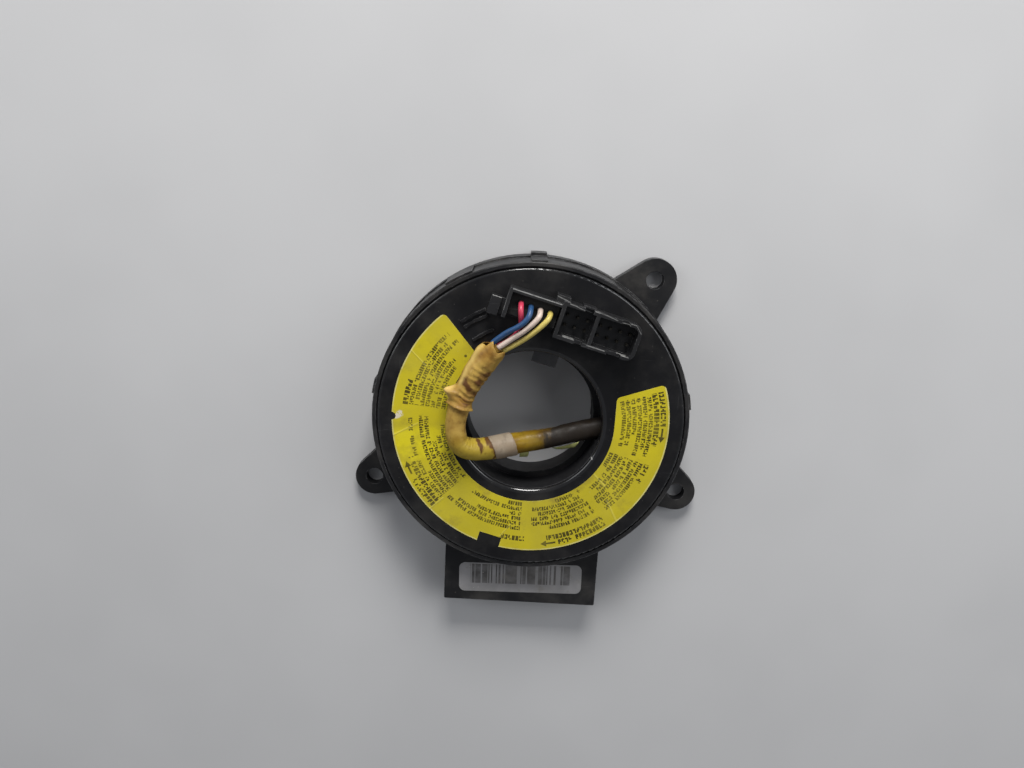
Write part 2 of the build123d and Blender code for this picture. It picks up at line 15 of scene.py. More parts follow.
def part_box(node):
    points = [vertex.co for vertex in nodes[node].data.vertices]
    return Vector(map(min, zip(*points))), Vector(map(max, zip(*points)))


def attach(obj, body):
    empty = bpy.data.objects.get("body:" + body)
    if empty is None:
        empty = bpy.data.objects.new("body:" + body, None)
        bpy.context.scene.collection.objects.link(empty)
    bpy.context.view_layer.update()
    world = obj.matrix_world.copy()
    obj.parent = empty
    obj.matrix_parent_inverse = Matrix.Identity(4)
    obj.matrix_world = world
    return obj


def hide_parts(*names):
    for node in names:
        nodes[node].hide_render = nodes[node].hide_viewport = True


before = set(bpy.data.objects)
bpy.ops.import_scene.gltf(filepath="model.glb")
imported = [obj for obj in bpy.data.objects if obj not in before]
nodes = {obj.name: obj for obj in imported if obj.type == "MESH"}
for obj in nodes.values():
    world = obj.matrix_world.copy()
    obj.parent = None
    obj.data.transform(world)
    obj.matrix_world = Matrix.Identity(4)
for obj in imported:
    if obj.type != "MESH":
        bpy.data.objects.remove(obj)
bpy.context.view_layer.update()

# ---- sizes shared with the frame
mm = 0.001
rest_turn = 15.2
rotor_turn = Matrix.Rotation(radians(-rest_turn), 4, "Z")

# ---- node tree helpers


def fill(tree, socket, value):
    """Links a socket to another one, or gives it a value."""
    if isinstance(value, bpy.types.NodeSocket):
        tree.links.new(value, socket)
    elif socket.type == "RGBA":
        socket.default_value = (*value, 1)
    else:
        socket.default_value = value


def fill_all(tree, node, values):
    """Fills a node's input sockets."""
    for socket, value in values.items():
        fill(tree, node.inputs[socket], value)


def add_node(tree, kind, values=None, **settings):
    """A new shader node with its settings, and its input sockets filled."""
    made = tree.nodes.new("ShaderNode" + kind)
    for name, value in settings.items():
        setattr(made, name, value)
    fill_all(tree, made, values or {})
    return made


def maths(tree, operation, *values, clamp=False):
    """One Math node's result."""
    values = dict(enumerate(values))
    return add_node(tree, "Math", values, operation=operation, use_clamp=clamp).outputs[0]


def times(tree, *values, clamp=False):
    """A product."""
    return maths(tree, "MULTIPLY", *values, clamp=clamp)


def plus(tree, *values, clamp=False):
    """A sum."""
    return maths(tree, "ADD", *values, clamp=clamp)


def brightest(tree, masks):
    """The highest of several masks."""
    found = masks[0]
    for mask in masks[1:]:
        found = maths(tree, "MAXIMUM", found, mask)
    return found


def above(tree, value, limit):
    """1 where a value is over a limit."""
    return maths(tree, "GREATER_THAN", value, limit)


def below(tree, value, limit):
    """1 where a value is under a limit."""
    return maths(tree, "LESS_THAN", value, limit)


def vector_maths(tree, operation, *values):
    """One Vector Math node's outputs."""
    values = dict(enumerate(values))
    return add_node(tree, "VectorMath", values, operation=operation).outputs


def axes_of(tree, vector):
    """A vector's outputs X, Y and Z."""
    return add_node(tree, "SeparateXYZ", {0: vector}).outputs


def drawn_value(tree, values, dimensions):
    """White noise's value."""
    return add_node(tree, "TexWhiteNoise", values, noise_dimensions=dimensions).outputs["Value"]


def blend_colour(tree, share, first, second):
    """One colour laid over another by a share."""
    made = add_node(tree, "Mix", data_type="RGBA")
    fill_all(tree, made, {0: share, 6: first, 7: second})
    return made.outputs[2]


def map_range(tree, value, low, high, to_low=0.0, to_high=1.0):
    """A value moved from one range to another, smooth at both ends."""
    values = {"Value": value, "From Min": low, "From Max": high}
    values.update({"To Min": to_low, "To Max": to_high})
    made = add_node(tree, "MapRange", values, interpolation_type="SMOOTHSTEP")
    return made.outputs["Result"]


def noise_at(tree, where, scale, detail=3.0, roughness=0.55):
    """A noise value, with scale in patches a metre."""
    values = {"Vector": where, "Scale": scale, "Detail": detail, "Roughness": roughness}
    return add_node(tree, "TexNoise", values).outputs["Fac"]


def bumped(tree, height, strength, distance, **normal):
    """A normal roughened by a height."""
    values = {"Height": height, "Strength": strength, "Distance": distance, **normal}
    return add_node(tree, "Bump", values).outputs[0]


def patchy(tree, where, scale, detail, low, high, to_low=0.0, to_high=1.0):
    """Noise moved from one range to another."""
    return map_range(tree, noise_at(tree, where, scale, detail), low, high, to_low, to_high)


def object_place(tree):
    """Where a point is on the part."""
    return add_node(tree, "TexCoord").outputs["Object"]


def new_group(name, inputs, *outputs):
    """A shader node group: returns it, its given sockets and its results' sockets.

    Inputs are numbers with their usual value, or vectors where that is None. Outputs are numbers.
    """
    group = bpy.data.node_groups.new(name, "ShaderNodeTree")
    for socket, value in inputs.items():
        kind = "NodeSocketVector" if value is None else "NodeSocketFloat"
        made = group.interface.new_socket(socket, in_out="INPUT", socket_type=kind)
        if value is not None:
            made.default_value = value
    for socket in outputs:
        group.interface.new_socket(socket, in_out="OUTPUT", socket_type="NodeSocketFloat")
    given = group.nodes.new("NodeGroupInput").outputs
    return group, given, group.nodes.new("NodeGroupOutput").inputs


def use_group(tree, group, values):
    """A placed group with its values; returns its output sockets by name."""
    made = add_node(tree, "Group", node_tree=group)
    fill_all(tree, made, values)
    return made.outputs


def new_material(name):
    """An empty material; returns it, its tree and its Principled shader."""
    made = bpy.data.materials.new(name)
    made.use_nodes = True
    tree = made.node_tree
    tree.nodes.clear()
    surface = add_node(tree, "BsdfPrincipled")
    add_node(tree, "OutputMaterial", {"Surface": surface.outputs[0]})
    return made, tree, surface


def feed(tree, surface, **values):
    """Fills the shader's sockets. Underscores stand for spaces."""
    fill_all(tree, surface, {name.replace("_", " "): value for name, value in values.items()})


# ---- shared effects


# three ways that scratches run: the turn in radians, and patches a metre along each axis
scratch_ways = [
    (0.5, (90.0, 2400.0, 90.0)),
    (-0.9, (2100.0, 70.0, 90.0)),
    (2.1, (60.0, 1900.0, 90.0)),
]


def build_edge_wear_and_highlight():
    """1 on a sharp edge, broken up along its length: worn rubbing and painted edge highlight in one
    mask.
    """
    inputs = {"Place": None, "Reach": 0.0003, "Amount": 1.0}
    group, given, out = new_group("edge_wear_and_highlight", inputs, "Mask")
    rounded = add_node(group, "Bevel", {"Radius": given["Reach"]}, samples=6)
    flat = add_node(group, "NewGeometry")
    facing = vector_maths(group, "DOT_PRODUCT", rounded.outputs["Normal"], flat.outputs["Normal"])
    turn_away = maths(group, "SUBTRACT", 1.0, facing["Value"])
    edge = map_range(group, turn_away, 0.01, 0.14)
    patches = patchy(group, given["Place"], 420.0, 4.0, 0.42, 0.62)
    fine = patchy(group, given["Place"], 2600.0, 2.0, 0.35, 0.6)
    broken = times(group, patches, fine)
    worn = times(group, edge, broken)
    mask = times(group, worn, given["Amount"], clamp=True)
    group.links.new(mask, out["Mask"])
    return group


def build_dust():
    """Settled dust on faces that look up: thin patches and a few specks."""
    group, given, out = new_group("dust", {"Place": None, "Amount": 0.3, "Specks": 0.5}, "Mask")
    normal = add_node(group, "NewGeometry").outputs["Normal"]
    facing_up = map_range(group, axes_of(group, normal)["Z"], 0.2, 0.95)
    cloud = map_range(group, noise_at(group, given["Place"], 60.0, 5.0, 0.65), 0.38, 0.75)
    film = times(group, cloud, given["Amount"])
    values = {"Vector": given["Place"], "Scale": 620.0, "Randomness": 1.0}
    cells = add_node(group, "TexVoronoi", values)
    dots = map_range(group, cells.outputs["Distance"], 0.16, 0.06)
    chosen = add_node(group, "SeparateColor", {0: cells.outputs["Color"]})
    rare = above(group, chosen.outputs[0], 0.86)
    specks = times(group, times(group, dots, rare), given["Specks"])
    both = maths(group, "MAXIMUM", film, specks)
    group.links.new(times(group, both, facing_up, clamp=True), out["Mask"])
    return group


def build_scuffs():
    """Fine scratches that run three ways, shown in patches."""
    group, given, out = new_group("scuffs", {"Place": None, "Amount": 0.5}, "Mask")
    lines = []
    for turn, scale in scratch_ways:
        values = {"Vector": given["Place"], "Rotation": (0, 0, turn), "Scale": scale}
        turned = add_node(group, "Mapping", values).outputs[0]
        lines.append(map_range(group, noise_at(group, turned, 1.0, 2.0, 0.5), 0.66, 0.74))
    patches = patchy(group, given["Place"], 90.0, 3.0, 0.5, 0.68)
    scratch = times(group, brightest(group, lines), patches)
    mask = times(group, scratch, given["Amount"], clamp=True)
    group.links.new(mask, out["Mask"])
    return group


def build_moulded_grain():
    """Height of a spark-eroded mould's texture."""
    group, given, out = new_group("moulded_grain", {"Place": None, "Scale": 3200.0}, "Height")
    fine = noise_at(group, given["Place"], given["Scale"], 2.0)
    waves = noise_at(group, given["Place"], 130.0, 2.0)
    group.links.new(plus(group, fine, times(group, waves, 1.2)), out["Height"])
    return group


def build_print_rows():
    """Rows of small strokes along arcs, like print seen from too far away to read.

    Angle is in degrees and Radius in millimetres. Row counts inwards from the top row.
    """
    inputs = {
        "Angle": 0.0,
        "Radius": 0.0,
        "Top": 39.5,
        "Pitch": 1.75,
        "Fill": 0.7,
        "Width": 0.8,
        "Gaps": 0.15,
    }
    group, given, out = new_group("print_rows", inputs, "Ink", "Row")
    inwards = maths(group, "SUBTRACT", given["Top"], given["Radius"])
    depth = maths(group, "DIVIDE", inwards, given["Pitch"])
    row = maths(group, "FLOOR", depth)
    high = maths(group, "DIVIDE", maths(group, "SUBTRACT", depth, row), given["Fill"])
    row_radius = maths(group, "SUBTRACT", given["Top"], times(group, row, given["Pitch"]))
    run = times(group, maths(group, "RADIANS", given["Angle"]), row_radius)
    step = maths(group, "DIVIDE", run, given["Width"])
    cell = maths(group, "FLOOR", step)
    wide = maths(group, "SUBTRACT", step, cell)
    # each cell is two by three strokes, some left out
    column = maths(group, "FLOOR", times(group, wide, 2.6))
    layer = maths(group, "FLOOR", times(group, high, 3.0))
    across = plus(group, times(group, cell, 3.0), column)
    down = plus(group, times(group, row, 7.0), layer)
    seed = add_node(group, "CombineXYZ", {0: across, 1: down}).outputs[0]
    stroke = drawn_value(group, {"Vector": seed}, "3D")
    drawn = above(group, stroke, 0.25)
    word = add_node(group, "CombineXYZ", {0: cell, 1: row, 2: 5.0}).outputs[0]
    letter = drawn_value(group, {"Vector": word}, "3D")
    kept = above(group, letter, given["Gaps"])
    in_row = below(group, high, 1.0)
    inside = times(group, in_row, below(group, wide, 0.8))
    ink = times(group, times(group, drawn, kept), inside)
    group.links.new(ink, out["Ink"])
    group.links.new(row, out["Row"])
    return group


def build_arrow():
    """A plain arrow along an arc: a bar and a triangular head."""
    inputs = {"Angle": 0.0, "Radius": 0.0, "Middle": 42.7, "Start": 0.0, "Tip": 0.0}
    group, given, out = new_group("arc_arrow", inputs, "Ink")
    off = maths(group, "ABSOLUTE", maths(group, "SUBTRACT", given["Radius"], given["Middle"]))
    left = maths(group, "SUBTRACT", given["Tip"], given["Angle"])
    head = below(group, off, times(group, left, 0.42))
    head = times(group, head, below(group, left, 2.6))
    bar = below(group, off, 0.32)
    bar = times(group, bar, above(group, left, 2.5))
    bar = times(group, bar, above(group, given["Angle"], given["Start"]))
    group.links.new(maths(group, "MAXIMUM", head, bar), out["Ink"])
    return group


def build_near_line():
    """1 along a straight mark between two places, 0 beyond its width."""
    inputs = {"Place": None, "From": None, "To": None, "Width": 0.5}
    group, given, out = new_group("near_line", inputs, "Mask")
    reach = vector_maths(group, "SUBTRACT", given["Place"], given["From"])[0]
    line = vector_maths(group, "SUBTRACT", given["To"], given["From"])[0]
    along = vector_maths(group, "DOT_PRODUCT", reach, line)["Value"]
    square = vector_maths(group, "DOT_PRODUCT", line, line)["Value"]
    share = maths(group, "DIVIDE", along, square, clamp=True)
    nearest = add_node(group, "VectorMath", {0: line}, operation="SCALE")
    group.links.new(share, nearest.inputs["Scale"])
    off = vector_maths(group, "DISTANCE", reach, nearest.outputs[0])["Value"]
    mask = map_range(group, off, given["Width"], 0.0)
    group.links.new(mask, out["Mask"])
    return group


edge_wear_and_highlight = build_edge_wear_and_highlight()
dust = build_dust()
scuffs = build_scuffs()
moulded_grain = build_moulded_grain()
print_rows = build_print_rows()
arc_arrow = build_arrow()
near_line = build_near_line()

# ---- routes and tubes


def level(place, pairs):
    """A value eased between given (place, value) pairs."""
    for (before, first), (after, second) in zip(pairs, pairs[1:]):
        if place < after:
            share = min(1.0, max(0.0, (place - before) / (after - before)))
            return first + (second - first) * share * share * (3 - 2 * share)
    return pairs[-1][1]


def hump(place, middle, reach):
    """1 at the middle, falling softly to 0 beyond the reach."""
    return exp(-(((place - middle) / reach) ** 2))


def facing(angle, degrees_round, sharpness):
    """1 on the side of a tube that looks one way round, falling off to the other side."""
    return (0.5 + 0.5 * cos(angle - radians(degrees_round))) ** sharpness


class Route:
    """A smooth line along points in the rotor's frame, read by distance in millimetres."""

    def __init__(self, name, points):
        curve = bpy.data.curves.new(name, "CURVE")
        curve.dimensions = "3D"
        curve.resolution_u = 40
        spline = curve.splines.new("NURBS")
        spline.points.add(len(points) - 1)
        for point, place in zip(spline.points, points):
            point.co = (*(rotor_turn @ (Vector(place) * mm)), 1)
        spline.order_u = 3
        spline.use_endpoint_u = True
        holder = bpy.data.objects.new(name, curve)
        line = bpy.data.meshes.new_from_object(holder)
        self.places = [vert.co.copy() for vert in line.vertices]
        bpy.data.meshes.remove(line)
        bpy.data.objects.remove(holder)
        bpy.data.curves.remove(curve)
        self.marks = [0.0]
        for before, after in zip(self.places, self.places[1:]):
            self.marks.append(self.marks[-1] + (after - before).length / mm)
        self.length = self.marks[-1]

    def at(self, distance):
        """The line's place at a distance."""
        for index, mark in enumerate(self.marks[1:]):
            if distance <= mark or index == len(self.marks) - 2:
                share = (distance - self.marks[index]) / (mark - self.marks[index])
                return self.places[index].lerp(self.places[index + 1], share)

    def seat(self, distance):
        """A frame across the line: x to its outer side, y up, z along it."""
        along = (self.at(distance + 0.3) - self.at(distance - 0.3)).normalized()
        outer = along.cross(Vector((0, 0, 1))).normalized()
        up = outer.cross(along)
        turned = Matrix((outer, up, along)).transposed().to_4x4()
        return Matrix.Translation(self.at(distance)) @ turned


wrap_radius = 3.8           # radius that the wrap attribute is worked out at


def spot_strength(angle, distance, middle, side, length, width, amount):
    """One spot's strength at an angle and a distance, with an uneven outline; spots are dirt marks
    and patches of painted shade.
    """
    around = Vector((cos(angle), sin(angle), 0))
    distance += 0.7 * noise.noise(around * 2.6 + Vector((0, 0, distance / 1.7)))
    angle += 0.35 * noise.noise(around * 1.9 + Vector((5, 0, distance / 1.1)))
    spread = (1 - cos(angle - radians(side))) / (1 - cos(radians(width)))
    return amount * hump(distance, middle, length) * exp(-spread)


def draw_tube(name, route, first, last, radius, slide=None, stains_and_shade=(), sides=56, step=0.4):
    """A tube along a route, drawn ring by ring.

    The radius is a function of angle and distance. Each vertex keeps its place round and along the
    tube in "wrap", and in a second attribute how much dirt marks and painted shade darken it.
    """
    shape = bmesh.new()
    wrap = shape.verts.layers.float_vector.new("wrap")
    stain_and_shade = shape.verts.layers.float.new("stain_and_shade")
    count = max(2, round((last - first) / step))
    seat = route.seat(first)
    ring = bmesh.ops.create_circle(shape, segments=sides, radius=mm, matrix=seat)["verts"]
    edges = shape.edges[:]
    for index in range(count + 1):
        distance = first + (last - first) * index / count
        if index:
            next_seat = route.seat(distance)
            made = bmesh.ops.extrude_edge_only(shape, edges=edges)["geom"]
            ring = [item for item in made if isinstance(item, bmesh.types.BMVert)]
            fresh = set(ring)
            drawn = [item for item in made if isinstance(item, bmesh.types.BMEdge)]
            edges = [edge for edge in drawn if fresh.issuperset(edge.verts)]
            bmesh.ops.transform(shape, matrix=next_seat @ seat.inverted(), verts=ring)
            seat = next_seat
        back = seat.inverted()
        for vert in ring:
            local = back @ vert.co
            angle = atan2(local.y, local.x)
            reach = radius(angle, distance) * mm
            shift = slide(angle, distance) if slide else 0.0
            vert.co = seat @ Vector((cos(angle) * reach, sin(angle) * reach, shift * mm))
            vert[wrap] = wrapped(degrees(angle), distance + shift)
            vert[stain_and_shade] = sum(spot_strength(angle, distance, *spot) for spot in stains_and_shade)
    bmesh.ops.recalc_face_normals(shape, faces=shape.faces)
    face = shape.faces[0]
    if face.normal.dot(face.calc_center_median() - route.at(first)) < 0:
        bmesh.ops.reverse_faces(shape, faces=shape.faces)
    return finish_mesh(name, shape)


def wrapped(degrees_round, distance):
    """What the wrap attribute holds at an angle and a distance."""
    return (
        cos(radians(degrees_round)) * wrap_radius * mm,
        sin(radians(degrees_round)) * wrap_radius * mm,
        distance * mm,
    )


def finish_mesh(name, shape):
    """Turns a bmesh into a smooth object in the scene."""
    for face in shape.faces:
        face.smooth = True
    mesh = bpy.data.meshes.new(name)
    shape.to_mesh(mesh)
    shape.free()
    piece = bpy.data.objects.new(name, mesh)
    bpy.context.scene.collection.objects.link(piece)
    return piece


def thicken(piece, thickness):
    """Gives a thin shell its wall, inwards."""
    wall = piece.modifiers.new("wall", "SOLIDIFY")
    wall.thickness = thickness
    wall.offset = -1.0


def close_ends(piece):
    """Closes a tube's two open ends with caps."""
    shape = bmesh.new()
    shape.from_mesh(piece.data)
    for edge_loop in bmesh.ops.holes_fill(shape, edges=shape.edges, sides=0)["faces"]:
        edge_loop.smooth = False
    shape.to_mesh(piece.data)
    shape.free()


# ---- taped harness
# points in the rotor's own frame: from the wire bay, along the bore's edge, over the fold and down
# into the bore to the hub's window
harness = Route(
    "harness_line",
    [
        (-18.2, 21.3, 26.7), (-22.4, 10.3, 26.7), (-23.7, -1.4, 26.7),
        (-22.7, -8.2, 26.7), (-19.6, -13.9, 26.4), (-12.4, -13.6, 23.7),
        (0.2, -7.7, 19.4), (8.8, -4.4, 16.9), (16.2, 0.0, 15.2),
        (24.7, 4.4, 14.5),
    ],
)
# where each length of tape starts and stops, along the harness
upper_start, upper_end = -0.5, 22.6
lower_start, lower_end = 19.0, 48.4
band_start, band_end = 47.2, 54.6
amber_start, amber_end = 53.2, harness.length - 0.1
tape_thickness = 0.16 * mm

# radius along the harness, and how far the torn start reaches at each angle round it
tape_radii = [(0, 3.85), (9, 3.9), (18, 3.45), (23, 3.5)]
tape_radii += [(29, 3.3), (36, 3.35), (43, 3.6), (51, 3.8)]
lower_radii = [(51, 3.65), (58, 3.45), (68, 3.3), (78, 3.4), (90, 3.4)]
torn_start = [
    (-180, 1.2), (-90, 0.8), (0, 2.4),
    (42, 2.0), (56, -0.7), (82, 0.7),
    (107, 1.5), (141, 0.1), (180, 1.2),
]


def crumple(angle, distance, size):
    """Uneven surface of tape that was wound by hand over four wires."""
    place = Vector((cos(angle) * 1.3, sin(angle) * 1.3, distance / 2.6))
    lumps = cos(4 * angle + distance / 9) * 0.05
    return lumps + size * noise.noise(place) + 0.35 * size * noise.noise(place * 3.1)


def folds(angle, distance, spacing, side, sharpness, amount):
    """Creases across the tape on one side, where it is squeezed by a bend."""
    drift = noise.noise(Vector((cos(angle), sin(angle), distance / 5))) * 0.45
    ridge = 1 - abs(sin(pi * (distance / spacing + drift))) * 2
    return ridge * amount * facing(angle, side, sharpness)


def upper_radius(angle, distance):
    """The loose yellow tape: creased inside, flared at its end, with an ear at its outer side."""
    ragged = 1 + 0.8 * noise.noise(Vector((cos(angle) * 2, sin(angle) * 2, 0)))
    flare = max(0.0, distance - 20.2) ** 2 * 0.16 * ragged
    ear = 3.1 * hump(distance, 19.2, 1.7) * facing(angle, 10, 10)
    lifted = 0.65 * hump(distance, 3.0, 5.0) * facing(angle, 15, 3)
    start = -0.35 * hump(distance, -1.0, 1.6)
    inner_creases = folds(angle, distance, 2.1, 140, 2, 0.20 * hump(distance, 11.5, 5.0))
    end_creases = folds(angle, distance, 1.9, 95, 1.5, 0.26 * hump(distance, 19.0, 2.6))
    rough_winding = 0.12 + crumple(angle, distance, 0.18) + inner_creases + end_creases
    return level(distance, tape_radii) + rough_winding + flare + ear + lifted + start


def lower_radius(angle, distance):
    """The smoother yellow tape under it, pressed together where it folds back."""
    pressed = folds(angle, distance, 1.3, 175, 3, 0.16 * hump(distance, 37.5, 4.0))
    return level(distance, tape_radii) + crumple(angle, distance, 0.10) + pressed


def band_radius(angle, distance):
    """The white band, wound a little looser than what it holds."""
    return level(distance, tape_radii) + 0.14 + crumple(angle, distance, 0.07)


def amber_radius(angle, distance):
    """The amber tape that goes down to the window."""
    return level(distance, lower_radii) + crumple(angle, distance, 0.12)


def torn(angle, distance):
    """How far the torn start of the tape reaches at this angle."""
    fade = max(0.0, 1 - (distance + 0.5) / 5.0)
    jag = 0.25 * noise.noise(Vector((cos(angle) * 5, sin(angle) * 5, 3)))
    return (level(degrees(angle), torn_start) + jag) * fade


def band_edges(angle, distance):
    """The band's slanting, slightly ragged edges."""
    rag = 0.16 * noise.noise(Vector((cos(angle) * 6, sin(angle) * 6, distance / 4)))
    near_start = max(0.0, 1 - (distance - band_start) / 2.0)
    near_end = max(0.0, 1 - (band_end - distance) / 2.0)
    return (0.95 * cos(angle) + rag) * near_start + (0.65 * cos(angle) + 1.6 * rag) * near_end


# place along, angle round, length, width in degrees, strength
# upper tape: spots at 118 to 142 degrees are painted shade between creases on the inner side; the
# rest are dirt marks
upper_stains_and_shade = [
    (14.0, 66, 1.5, 30, 1.15),
    (15.4, 92, 1.0, 24, 0.8),
    (9.0, 138, 2.2, 34, 0.85),
    (12.4, 126, 1.2, 26, 0.75),
    (16.8, 142, 2.0, 40, 0.8),
    (20.2, 118, 1.2, 34, 0.7),
    (19.0, 75, 0.7, 26, 0.5),
    (5.5, 100, 1.4, 36, 0.35),
]
lower_stains = [
    (24.0, 90, 0.9, 120, 0.45),
    (27.5, 120, 2.4, 30, 0.3),
    (31.5, 60, 2.0, 24, 0.25),
    (38.2, 178, 1.6, 26, 0.7),
    (41.6, 172, 0.65, 28, 1.2),
    (42.2, 140, 0.65, 26, 1.5),
    (42.8, 106, 0.55, 20, 1.4),
    (46.0, 160, 1.5, 40, 1.6),
    (46.8, 118, 0.9, 34, 1.2),
    (47.4, 60, 0.5, 50, 1.0),
    (44.2, 30, 1.0, 24, 0.4),
]
# amber tape: the first four spots are painted shade, darkening it deep in the bore; the last two
# are dirt marks
amber_stains_and_shade = [
    (65.0, 80, 1.3, 90, 0.8),
    (70.5, 70, 3.4, 100, 2.2),
    (77.0, 80, 5.0, 120, 2.4),
    (85.0, 80, 6.0, 120, 2.4),
    (57.5, 160, 1.3, 30, 0.35),
    (60.5, 0, 3.5, 36, 0.5),
]

# loose tails of the amber tape: corners as place along, angle round and radius, in order round
# the flap, starting where it is stuck down
tape_tails = {
    "stuck_tape_tail": [(67.6, -4, 3.55), (76.4, 40, 3.65), (73.6, 2, 4.9), (71.0, -14, 5.1)],
    "hanging_tape_tail": [(56.4, -4, 3.55), (59.8, -4, 3.55), (59.4, -22, 6.6), (56.9, -26, 6.3)],
}
tail_steps = 10


def lift_tail(name, corners):
    """A thin flap of tape between four corners that are given round the harness."""
    shape = bmesh.new()
    wrap = shape.verts.layers.float_vector.new("wrap")
    stain_and_shade = shape.verts.layers.float.new("stain_and_shade")
    bmesh.ops.create_grid(shape, x_segments=tail_steps, y_segments=tail_steps, size=0.5)
    stuck_first, stuck_last, far_last, far_first = (Vector(corner) for corner in corners)
    for vert in shape.verts:
        along, out = vert.co.x + 0.5, vert.co.y + 0.5
        far_side = far_first.lerp(far_last, along)
        distance, angle, reach = stuck_first.lerp(stuck_last, along).lerp(far_side, out)
        reach += 0.35 * sin(pi * out) + 0.12 * noise.noise(Vector((along * 3, out * 3, distance)))
        around = Vector((cos(radians(angle)), sin(radians(angle)), 0.0))
        vert.co = harness.seat(distance) @ (around * reach * mm)
        vert[wrap] = (around.x * reach * mm, around.y * reach * mm, distance * mm)
        vert[stain_and_shade] = 0.0
    bmesh.ops.recalc_face_normals(shape, faces=shape.faces)
    return finish_mesh(name, shape)


def wind_harness(yellow_finish, white_finish, amber_finish, lit_tail_finish):
    """The tape on the harness: two yellow lengths, the white band, the amber length, its tails."""
    upper = draw_tube(
        "loose_yellow_tape", harness, upper_start, upper_end, upper_radius, torn, upper_stains_and_shade
    )
    lower = draw_tube(
        "folded_yellow_tape", harness, lower_start, lower_end, lower_radius, None, lower_stains
    )
    band = draw_tube("white_band", harness, band_start, band_end, band_radius, band_edges)
    amber = draw_tube(
        "amber_tape", harness, amber_start, amber_end, amber_radius, None, amber_stains_and_shade
    )
    dressed = [
        (upper, yellow_finish, "yellow_tape"),
        (lower, yellow_finish, "yellow_tape"),
        (band, white_finish, "white_tape"),
        (amber, amber_finish, "amber_tape"),
    ]
    for name, corners in tape_tails.items():
        dressed.append((lift_tail(name, corners), lit_tail_finish, "amber_tape"))
    for piece, finish, slot in dressed:
        piece.data.materials.append(finish)
        thicken(piece, tape_thickness)
        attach(piece, "rotor")
    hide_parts("yellow_tape_wrap")
    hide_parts("yellow_tape_wrap")
    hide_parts("white_tape_band")
    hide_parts("amber_tape_wrap")


# ---- wires
# each wire's points in the rotor's frame: up out of the plug, over towards the bore, into the tape
wire_routes = {
    "wire_pink": [
        (-15.2, 36.4, 25.8), (-15.2, 36.4, 28.8), (-14.6, 34.2, 30.5),
        (-13.1, 30.6, 28.5), (-13.3, 27.2, 27.5), (-15.5, 23.4, 26.0),
        (-17.7, 21.2, 25.6),
    ],
    "wire_blue": [
        (-12.0, 36.3, 25.8), (-12.0, 36.3, 28.9), (-11.7, 34.0, 31.4),
        (-13.3, 30.4, 31.0), (-17.4, 26.2, 28.8), (-19.8, 22.0, 27.5),
    ],
    "wire_white": [
        (-8.9, 36.2, 25.8), (-8.9, 36.2, 28.8), (-8.8, 34.4, 31.2),
        (-11.4, 29.6, 30.6), (-15.0, 24.9, 28.8), (-17.7, 21.2, 28.3),
    ],
    "wire_yellow": [
        (-5.7, 36.2, 25.8), (-5.7, 36.2, 28.8), (-6.1, 34.3, 31.0),
        (-9.2, 28.9, 30.0), (-12.4, 24.4, 28.0), (-15.9, 20.5, 27.0),
    ],
}
wire_radius = 0.85
wire_trim = 0.02            # left out at both ends of a wire's line


def wire_reach(angle, distance):
    """A wire's slightly uneven radius."""
    return wire_radius + 0.02 * noise.noise(Vector((angle, distance / 2, 0)))


def draw_wires(finishes):
    """The four wires that go from the plug into the tape."""
    for name, points in wire_routes.items():
        route = Route(name + "_line", points)
        last = route.length - wire_trim
        wire = draw_tube(name + "_lead", route, wire_trim, last, wire_reach, sides=20)
        close_ends(wire)
        wire.data.materials.append(finishes[name])
        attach(wire, "rotor")
        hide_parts(name)


# ---- finishes


def pale_marks(tree, place, marks, lowest):
    """Pale marks between places in the rotor's frame, only above a height; the housing's are
    painted highlights along its top edges, partly worn rubbing.
    """
    turned = rotor_place(tree, place)
    worn = []
    for first, last, width, strength in marks:
        values = {"Place": turned, "From": (*first, 0.0), "To": (*last, 0.0), "Width": width}
        worn.append(times(tree, use_group(tree, near_line, values)["Mask"], strength))
    high = above(tree, axes_of(tree, place)["Z"], lowest)
    broken = map_range(tree, noise_at(tree, place, 700.0, 3.0, 0.6), 0.26, 0.52, 0.25, 1.0)
    return times(tree, times(tree, brightest(tree, worn), high), broken, clamp=True)


def turned_millimetres(tree, place, turn):
    """A place turned by some degrees, in millimetres, with its height left out."""
    values = {"Vector": place, "Rotation": (0, 0, radians(turn)), "Scale": (1000, 1000, 0)}
    return add_node(tree, "Mapping", values).outputs[0]


def rotor_place(tree, place):
    """Where a point is in the rotor's own frame."""
    return turned_millimetres(tree, place, rest_turn)


edge_reach = 0.45 * mm
scratch_grey = (0.16, 0.16, 0.16)
worn_lit_edge_grey = (0.30, 0.30, 0.31)
mark_grey = (0.34, 0.34, 0.33)
dust_brown = (0.30, 0.28, 0.25)


